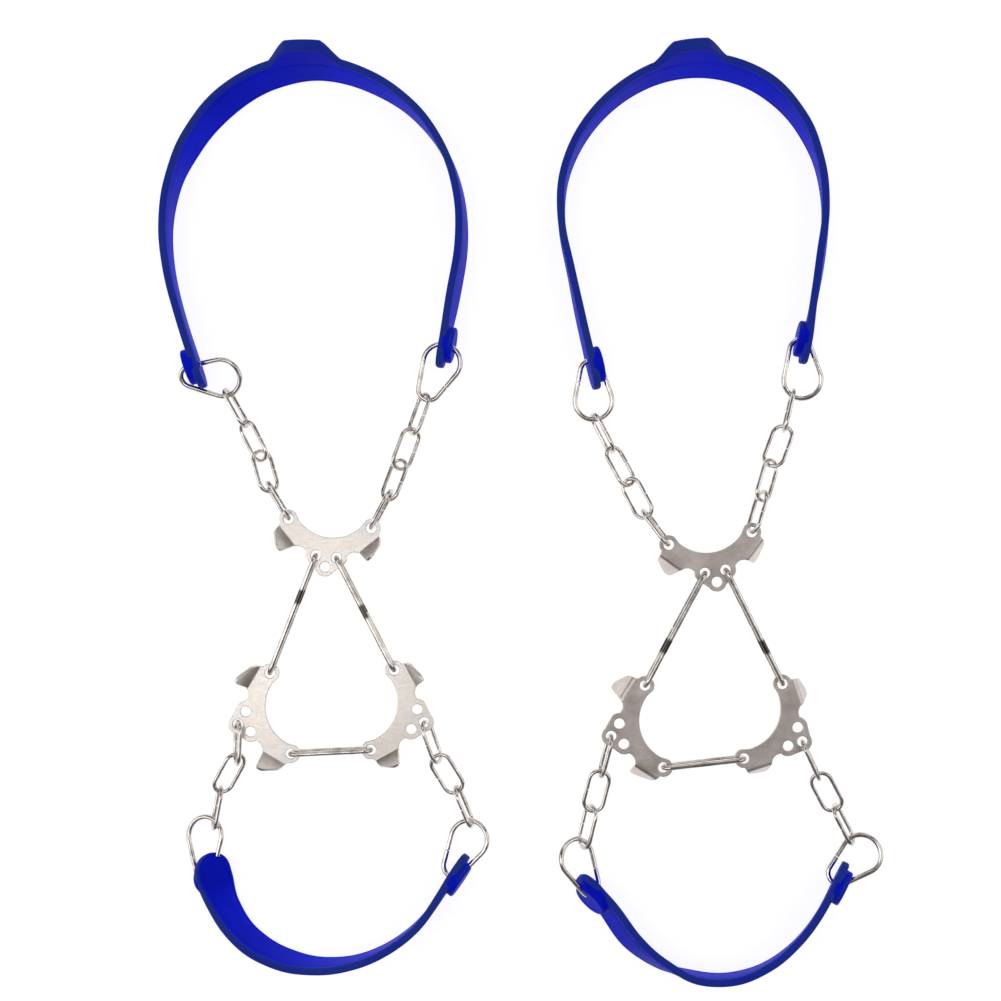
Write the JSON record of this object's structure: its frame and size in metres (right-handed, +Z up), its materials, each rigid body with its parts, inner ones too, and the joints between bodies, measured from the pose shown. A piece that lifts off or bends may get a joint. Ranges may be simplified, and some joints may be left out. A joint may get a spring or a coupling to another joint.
{
  "type": "shoe ice cleats",
  "caption": "Pair of slip-on ice cleats: silicone heel and toe straps joined under the sole by chains, wire loops and stamped plates with bent teeth.",
  "frame": {"origin": "middle of the pair's footprint, on the surface that it lies on", "axes": "+Z up, +Y towards the heel straps, +X from the cleat that lies with its teeth up to the one that stands on its teeth"},
  "size_m": [0.3126, 0.4074, 0.0243],
  "materials": {
    "wire": "bright drawn stainless wire, lightly tumbled",
    "sheet": "tumbled stainless sheet, satin with soft edges",
    "silicone": "saturated royal blue moulded silicone, satin, faint lengthwise ridges"
  },
  "bodies": {
    "a_heel_plate": {"a_heel_plate": "sheet"},
    "a_side_plate_l": {"a_side_plate_l": "sheet"},
    "a_side_plate_r": {"a_side_plate_r": "sheet"},
    "a_side_wire_l": {"a_side_wire_l": "wire"},
    "a_side_wire_r": {"a_side_wire_r": "wire"},
    "a_cross_wire": {"a_cross_wire": "wire"},
    "a_heel_link_l1": {"a_heel_link_l1": "wire"},
    "a_heel_link_l2": {"a_heel_link_l2": "wire"},
    "a_heel_link_l3": {"a_heel_link_l3": "wire"},
    "a_heel_link_l4": {"a_heel_link_l4": "wire"},
    "a_heel_ring_l": {"a_heel_ring_l": "wire"},
    "a_heel_link_r1": {"a_heel_link_r1": "wire"},
    "a_heel_link_r2": {"a_heel_link_r2": "wire"},
    "a_heel_link_r3": {"a_heel_link_r3": "wire"},
    "a_heel_link_r4": {"a_heel_link_r4": "wire"},
    "a_heel_ring_r": {"a_heel_ring_r": "wire"},
    "a_toe_link_l1": {"a_toe_link_l1": "wire"},
    "a_toe_link_l2": {"a_toe_link_l2": "wire"},
    "a_toe_link_l3": {"a_toe_link_l3": "wire"},
    "a_toe_ring_l": {"a_toe_ring_l": "wire"},
    "a_toe_link_r1": {"a_toe_link_r1": "wire"},
    "a_toe_link_r2": {"a_toe_link_r2": "wire"},
    "a_toe_link_r3": {"a_toe_link_r3": "wire"},
    "a_toe_ring_r": {"a_toe_ring_r": "wire"},
    "a_heel_strap": {"a_heel_strap": "silicone"},
    "a_toe_strap": {"a_toe_strap": "silicone"},
    "b_heel_plate": {"b_heel_plate": "sheet"},
    "b_side_plate_l": {"b_side_plate_l": "sheet"},
    "b_side_plate_r": {"b_side_plate_r": "sheet"},
    "b_side_wire_l": {"b_side_wire_l": "wire"},
    "b_side_wire_r": {"b_side_wire_r": "wire"},
    "b_cross_wire": {"b_cross_wire": "wire"},
    "b_heel_link_l1": {"b_heel_link_l1": "wire"},
    "b_heel_link_l2": {"b_heel_link_l2": "wire"},
    "b_heel_link_l3": {"b_heel_link_l3": "wire"},
    "b_heel_link_l4": {"b_heel_link_l4": "wire"},
    "b_heel_ring_l": {"b_heel_ring_l": "wire"},
    "b_heel_link_r1": {"b_heel_link_r1": "wire"},
    "b_heel_link_r2": {"b_heel_link_r2": "wire"},
    "b_heel_link_r3": {"b_heel_link_r3": "wire"},
    "b_heel_link_r4": {"b_heel_link_r4": "wire"},
    "b_heel_ring_r": {"b_heel_ring_r": "wire"},
    "b_toe_link_l1": {"b_toe_link_l1": "wire"},
    "b_toe_link_l2": {"b_toe_link_l2": "wire"},
    "b_toe_link_l3": {"b_toe_link_l3": "wire"},
    "b_toe_ring_l": {"b_toe_ring_l": "wire"},
    "b_toe_link_r1": {"b_toe_link_r1": "wire"},
    "b_toe_link_r2": {"b_toe_link_r2": "wire"},
    "b_toe_link_r3": {"b_toe_link_r3": "wire"},
    "b_toe_ring_r": {"b_toe_ring_r": "wire"},
    "b_heel_strap": {"b_heel_strap": "silicone"},
    "b_toe_strap": {"b_toe_strap": "silicone"}
  },
  "joints": [
    {"name": "a_heel_link_l1_fold", "type": "hinge", "parent": "a_heel_plate", "child": "a_heel_link_l1", "pos_m": [-0.10378, 0.00285, 0.00546], "axis": [0.9952, -0.0977, 0], "range_deg": [-20, 20]},
    {"name": "a_heel_link_r1_fold", "type": "hinge", "parent": "a_heel_plate", "child": "a_heel_link_r1", "pos_m": [-0.06361, -0.00109, 0.00546], "axis": [0.9952, -0.0977, 0], "range_deg": [-20, 20]},
    {"name": "a_heel_link_l2_fold", "type": "hinge", "parent": "a_heel_link_l1", "child": "a_heel_link_l2", "pos_m": [-0.10927, 0.01114, 0.00554], "axis": [0.9975, -0.0707, 0], "range_deg": [-20, 20]},
    {"name": "a_heel_link_r2_fold", "type": "hinge", "parent": "a_heel_link_r1", "child": "a_heel_link_r2", "pos_m": [-0.05877, 0.00756, 0.00554], "axis": [0.9975, -0.0707, 0], "range_deg": [-20, 20]},
    {"name": "a_heel_link_l3_fold", "type": "hinge", "parent": "a_heel_link_l2", "child": "a_heel_link_l3", "pos_m": [-0.11372, 0.02679, 0.00435], "axis": [0.9979, -0.0641, 0.0004], "range_deg": [-20, 20]},
    {"name": "a_heel_link_r3_fold", "type": "hinge", "parent": "a_heel_link_r2", "child": "a_heel_link_r3", "pos_m": [-0.05307, 0.02289, 0.00437], "axis": [0.9979, -0.0641, 0.0004], "range_deg": [-20, 20]},
    {"name": "a_heel_link_l4_fold", "type": "hinge", "parent": "a_heel_link_l3", "child": "a_heel_link_l4", "pos_m": [-0.12113, 0.0413, 0.00514], "axis": [0.9991, -0.0414, -0.0062], "range_deg": [-20, 20]},
    {"name": "a_heel_link_r4_fold", "type": "hinge", "parent": "a_heel_link_r3", "child": "a_heel_link_r4", "pos_m": [-0.0473, 0.03824, 0.00468], "axis": [0.9991, -0.0414, -0.0062], "range_deg": [-20, 20]},
    {"name": "a_heel_ring_l_fold", "type": "hinge", "parent": "a_heel_link_l4", "child": "a_heel_ring_l", "pos_m": [-0.1279, 0.05315, 0.0042], "axis": [0.9997, -0.0226, 0.0109], "range_deg": [-20, 20]},
    {"name": "a_heel_ring_r_fold", "type": "hinge", "parent": "a_heel_link_r4", "child": "a_heel_ring_r", "pos_m": [-0.04248, 0.05122, 0.00513], "axis": [0.9997, -0.0226, 0.0109], "range_deg": [-20, 20]},
    {"name": "a_heel_strap_fold", "type": "hinge", "parent": "a_heel_ring_l", "child": "a_heel_strap", "pos_m": [-0.14264, 0.06526, 0.00823], "axis": [0.9967, 0.0806, 0], "range_deg": [-8, 8]},
    {"name": "a_side_wire_l_fold", "type": "hinge", "parent": "a_heel_plate", "child": "a_side_wire_l", "pos_m": [-0.09073, -0.01939, 0.00549], "axis": [-0.997, 0.0778, 0], "range_deg": [-18, 18]},
    {"name": "a_side_wire_r_fold", "type": "hinge", "parent": "a_heel_plate", "child": "a_side_wire_r", "pos_m": [-0.07941, -0.02027, 0.00549], "axis": [-0.997, 0.0778, 0], "range_deg": [-18, 18]},
    {"name": "a_side_plate_l_fold", "type": "hinge", "parent": "a_side_wire_l", "child": "a_side_plate_l", "pos_m": [-0.10861, -0.06523, 0.00549], "axis": [-0.9997, -0.0231, 0], "range_deg": [-18, 18]},
    {"name": "a_side_plate_r_fold", "type": "hinge", "parent": "a_side_wire_r", "child": "a_side_plate_r", "pos_m": [-0.05693, -0.06403, 0.00549], "axis": [-0.9997, -0.0231, 0], "range_deg": [-18, 18]},
    {"name": "a_cross_wire_roll", "type": "hinge", "parent": "a_side_plate_l", "child": "a_cross_wire", "pos_m": [-0.09787, -0.10288, 0.00549], "axis": [0.9989, 0.0478, 0], "range_deg": [-15, 15]},
    {"name": "a_toe_link_l1_fold", "type": "hinge", "parent": "a_side_plate_l", "child": "a_toe_link_l1", "pos_m": [-0.12374, -0.09344, 0.00547], "axis": [-1, -0.0007, 0.0001], "range_deg": [-20, 20]},
    {"name": "a_toe_link_r1_fold", "type": "hinge", "parent": "a_side_plate_r", "child": "a_toe_link_r1", "pos_m": [-0.04102, -0.09338, 0.00546], "axis": [-1, -0.0007, 0.0001], "range_deg": [-20, 20]},
    {"name": "a_toe_link_l2_fold", "type": "hinge", "parent": "a_toe_link_l1", "child": "a_toe_link_l2", "pos_m": [-0.12307, -0.10348, 0.00545], "axis": [-1, 0.0065, 0.0005], "range_deg": [-20, 20]},
    {"name": "a_toe_link_r2_fold", "type": "hinge", "parent": "a_toe_link_r1", "child": "a_toe_link_r2", "pos_m": [-0.03751, -0.10403, 0.00541], "axis": [-1, 0.0065, 0.0005], "range_deg": [-20, 20]},
    {"name": "a_toe_link_l3_fold", "type": "hinge", "parent": "a_toe_link_l2", "child": "a_toe_link_l3", "pos_m": [-0.13191, -0.11961, 0.00507], "axis": [-1, 0.0004, -0.002], "range_deg": [-20, 20]},
    {"name": "a_toe_link_r3_fold", "type": "hinge", "parent": "a_toe_link_r2", "child": "a_toe_link_r3", "pos_m": [-0.02778, -0.11965, 0.00528], "axis": [-1, 0.0004, -0.002], "range_deg": [-20, 20]},
    {"name": "a_toe_ring_l_fold", "type": "hinge", "parent": "a_toe_link_l3", "child": "a_toe_ring_l", "pos_m": [-0.13378, -0.13221, 0.00526], "axis": [-1, 0.0001, -0.0003], "range_deg": [-20, 20]},
    {"name": "a_toe_ring_r_fold", "type": "hinge", "parent": "a_toe_link_r3", "child": "a_toe_ring_r", "pos_m": [-0.02268, -0.13222, 0.00528], "axis": [-1, 0.0001, -0.0003], "range_deg": [-20, 20]},
    {"name": "a_toe_strap_fold", "type": "hinge", "parent": "a_toe_ring_l", "child": "a_toe_strap", "pos_m": [-0.13394, -0.15584, 0.00869], "axis": [-1, -0.0019, 0.0037], "range_deg": [-8, 8]},
    {"name": "b_heel_link_l1_fold", "type": "hinge", "parent": "b_heel_plate", "child": "b_heel_link_l1", "pos_m": [0.06071, -0.00844, 0.01003], "axis": [0.9885, 0.1513, 0], "range_deg": [-20, 20]},
    {"name": "b_heel_link_r1_fold", "type": "hinge", "parent": "b_heel_plate", "child": "b_heel_link_r1", "pos_m": [0.10032, -0.00238, 0.01003], "axis": [0.9885, 0.1513, 0], "range_deg": [-20, 20]},
    {"name": "b_heel_link_l2_fold", "type": "hinge", "parent": "b_heel_link_l1", "child": "b_heel_link_l2", "pos_m": [0.05415, 0, 0.00927], "axis": [0.9893, 0.146, 0.0016], "range_deg": [-20, 20]},
    {"name": "b_heel_link_r2_fold", "type": "hinge", "parent": "b_heel_link_r1", "child": "b_heel_link_r2", "pos_m": [0.1033, 0.00725, 0.00935], "axis": [0.9893, 0.146, 0.0016], "range_deg": [-20, 20]},
    {"name": "b_heel_link_l3_fold", "type": "hinge", "parent": "b_heel_link_l2", "child": "b_heel_link_l3", "pos_m": [0.04641, 0.01509, 0.00671], "axis": [0.9934, 0.1147, 0.0015], "range_deg": [-20, 20]},
    {"name": "b_heel_link_r3_fold", "type": "hinge", "parent": "b_heel_link_r2", "child": "b_heel_link_r3", "pos_m": [0.10806, 0.02221, 0.0068], "axis": [0.9934, 0.1147, 0.0015], "range_deg": [-20, 20]},
    {"name": "b_heel_link_l4_fold", "type": "hinge", "parent": "b_heel_link_l3", "child": "b_heel_link_l4", "pos_m": [0.03831, 0.03017, 0.00568], "axis": [0.9928, 0.1196, -0.0005], "range_deg": [-20, 20]},
    {"name": "b_heel_link_r4_fold", "type": "hinge", "parent": "b_heel_link_r3", "child": "b_heel_link_r4", "pos_m": [0.11461, 0.03937, 0.00565], "axis": [0.9928, 0.1196, -0.0005], "range_deg": [-20, 20]},
    {"name": "b_heel_ring_l_fold", "type": "hinge", "parent": "b_heel_link_l4", "child": "b_heel_ring_l", "pos_m": [0.03207, 0.04242, 0.00539], "axis": [0.9928, 0.1197, -0.0004], "range_deg": [-20, 20]},
    {"name": "b_heel_ring_r_fold", "type": "hinge", "parent": "b_heel_link_r4", "child": "b_heel_ring_r", "pos_m": [0.11777, 0.05275, 0.00535], "axis": [0.9928, 0.1197, -0.0004], "range_deg": [-20, 20]},
    {"name": "b_heel_strap_fold", "type": "hinge", "parent": "b_heel_ring_l", "child": "b_heel_strap", "pos_m": [0.03166, 0.06566, 0.00829], "axis": [0.9925, 0.1221, 0.0031], "range_deg": [-8, 8]},
    {"name": "b_side_wire_l_fold", "type": "hinge", "parent": "b_heel_plate", "child": "b_side_wire_l", "pos_m": [0.07749, -0.02665, 0.01039], "axis": [-0.9936, -0.1128, 0], "range_deg": [-18, 18]},
    {"name": "b_side_wire_r_fold", "type": "hinge", "parent": "b_heel_plate", "child": "b_side_wire_r", "pos_m": [0.08905, -0.02534, 0.01039], "axis": [-0.9936, -0.1128, 0], "range_deg": [-18, 18]},
    {"name": "b_side_plate_l_fold", "type": "hinge", "parent": "b_side_wire_l", "child": "b_side_plate_l", "pos_m": [0.05437, -0.07008, 0.01039], "axis": [-0.9999, -0.0126, 0], "range_deg": [-18, 18]},
    {"name": "b_side_plate_r_fold", "type": "hinge", "parent": "b_side_wire_r", "child": "b_side_plate_r", "pos_m": [0.11101, -0.06936, 0.01039], "axis": [-0.9999, -0.0126, 0], "range_deg": [-18, 18]},
    {"name": "b_cross_wire_roll", "type": "hinge", "parent": "b_side_plate_l", "child": "b_cross_wire", "pos_m": [0.06378, -0.10765, 0.01039], "axis": [0.9939, 0.1099, 0], "range_deg": [-15, 15]},
    {"name": "b_toe_link_l1_fold", "type": "hinge", "parent": "b_side_plate_l", "child": "b_toe_link_l1", "pos_m": [0.03738, -0.09858, 0.00985], "axis": [-0.9997, 0.0237, 0], "range_deg": [-20, 20]},
    {"name": "b_toe_link_r1_fold", "type": "hinge", "parent": "b_side_plate_r", "child": "b_toe_link_r1", "pos_m": [0.12273, -0.1006, 0.00985], "axis": [-0.9997, 0.0237, 0], "range_deg": [-20, 20]},
    {"name": "b_toe_link_l2_fold", "type": "hinge", "parent": "b_toe_link_l1", "child": "b_toe_link_l2", "pos_m": [0.03449, -0.11013, 0.00834], "axis": [-0.9999, 0.013, 0], "range_deg": [-20, 20]},
    {"name": "b_toe_link_r2_fold", "type": "hinge", "parent": "b_toe_link_r1", "child": "b_toe_link_r2", "pos_m": [0.12787, -0.11134, 0.00834], "axis": [-0.9999, 0.013, 0], "range_deg": [-20, 20]},
    {"name": "b_toe_link_l3_fold", "type": "hinge", "parent": "b_toe_link_l2", "child": "b_toe_link_l3", "pos_m": [0.0302, -0.12788, 0.0061], "axis": [-1, -0.0047, 0], "range_deg": [-20, 20]},
    {"name": "b_toe_link_r3_fold", "type": "hinge", "parent": "b_toe_link_r2", "child": "b_toe_link_r3", "pos_m": [0.13661, -0.12738, 0.0061], "axis": [-1, -0.0047, 0], "range_deg": [-20, 20]},
    {"name": "b_toe_ring_l_fold", "type": "hinge", "parent": "b_toe_link_l3", "child": "b_toe_ring_l", "pos_m": [0.02707, -0.14101, 0.00569], "axis": [-0.9999, -0.0121, 0.0001], "range_deg": [-20, 20]},
    {"name": "b_toe_ring_r_fold", "type": "hinge", "parent": "b_toe_link_r3", "child": "b_toe_ring_r", "pos_m": [0.14298, -0.13961, 0.00568], "axis": [-0.9999, -0.0121, 0.0001], "range_deg": [-20, 20]},
    {"name": "b_toe_strap_fold", "type": "hinge", "parent": "b_toe_ring_l", "child": "b_toe_strap", "pos_m": [0.03076, -0.16394, 0.00795], "axis": [-0.9991, -0.0413, -0.0027], "range_deg": [-8, 8]},
    {"name": "pair_apart", "type": "slide", "parent": "a_heel_plate", "child": "b_heel_plate", "axis": [1, 0, 0], "range_m": [0, 0.12]}
  ],
  "couplings": [
    {"joint": "a_heel_link_r1_fold", "follows": "a_heel_link_l1_fold", "ratio": 1},
    {"joint": "a_heel_link_r2_fold", "follows": "a_heel_link_l2_fold", "ratio": 1},
    {"joint": "a_heel_link_r3_fold", "follows": "a_heel_link_l3_fold", "ratio": 1},
    {"joint": "a_heel_link_r4_fold", "follows": "a_heel_link_l4_fold", "ratio": 1},
    {"joint": "a_heel_ring_r_fold", "follows": "a_heel_ring_l_fold", "ratio": 1},
    {"joint": "a_side_wire_r_fold", "follows": "a_side_wire_l_fold", "ratio": 1},
    {"joint": "a_side_plate_r_fold", "follows": "a_side_plate_l_fold", "ratio": 1},
    {"joint": "a_toe_link_r1_fold", "follows": "a_toe_link_l1_fold", "ratio": 1},
    {"joint": "a_toe_link_r2_fold", "follows": "a_toe_link_l2_fold", "ratio": 1},
    {"joint": "a_toe_link_r3_fold", "follows": "a_toe_link_l3_fold", "ratio": 1},
    {"joint": "a_toe_ring_r_fold", "follows": "a_toe_ring_l_fold", "ratio": 1},
    {"joint": "b_heel_link_r1_fold", "follows": "b_heel_link_l1_fold", "ratio": 1},
    {"joint": "b_heel_link_r2_fold", "follows": "b_heel_link_l2_fold", "ratio": 1},
    {"joint": "b_heel_link_r3_fold", "follows": "b_heel_link_l3_fold", "ratio": 1},
    {"joint": "b_heel_link_r4_fold", "follows": "b_heel_link_l4_fold", "ratio": 1},
    {"joint": "b_heel_ring_r_fold", "follows": "b_heel_ring_l_fold", "ratio": 1},
    {"joint": "b_side_wire_r_fold", "follows": "b_side_wire_l_fold", "ratio": 1},
    {"joint": "b_side_plate_r_fold", "follows": "b_side_plate_l_fold", "ratio": 1},
    {"joint": "b_toe_link_r1_fold", "follows": "b_toe_link_l1_fold", "ratio": 1},
    {"joint": "b_toe_link_r2_fold", "follows": "b_toe_link_l2_fold", "ratio": 1},
    {"joint": "b_toe_link_r3_fold", "follows": "b_toe_link_l3_fold", "ratio": 1},
    {"joint": "b_toe_ring_r_fold", "follows": "b_toe_ring_l_fold", "ratio": 1}
  ]
}
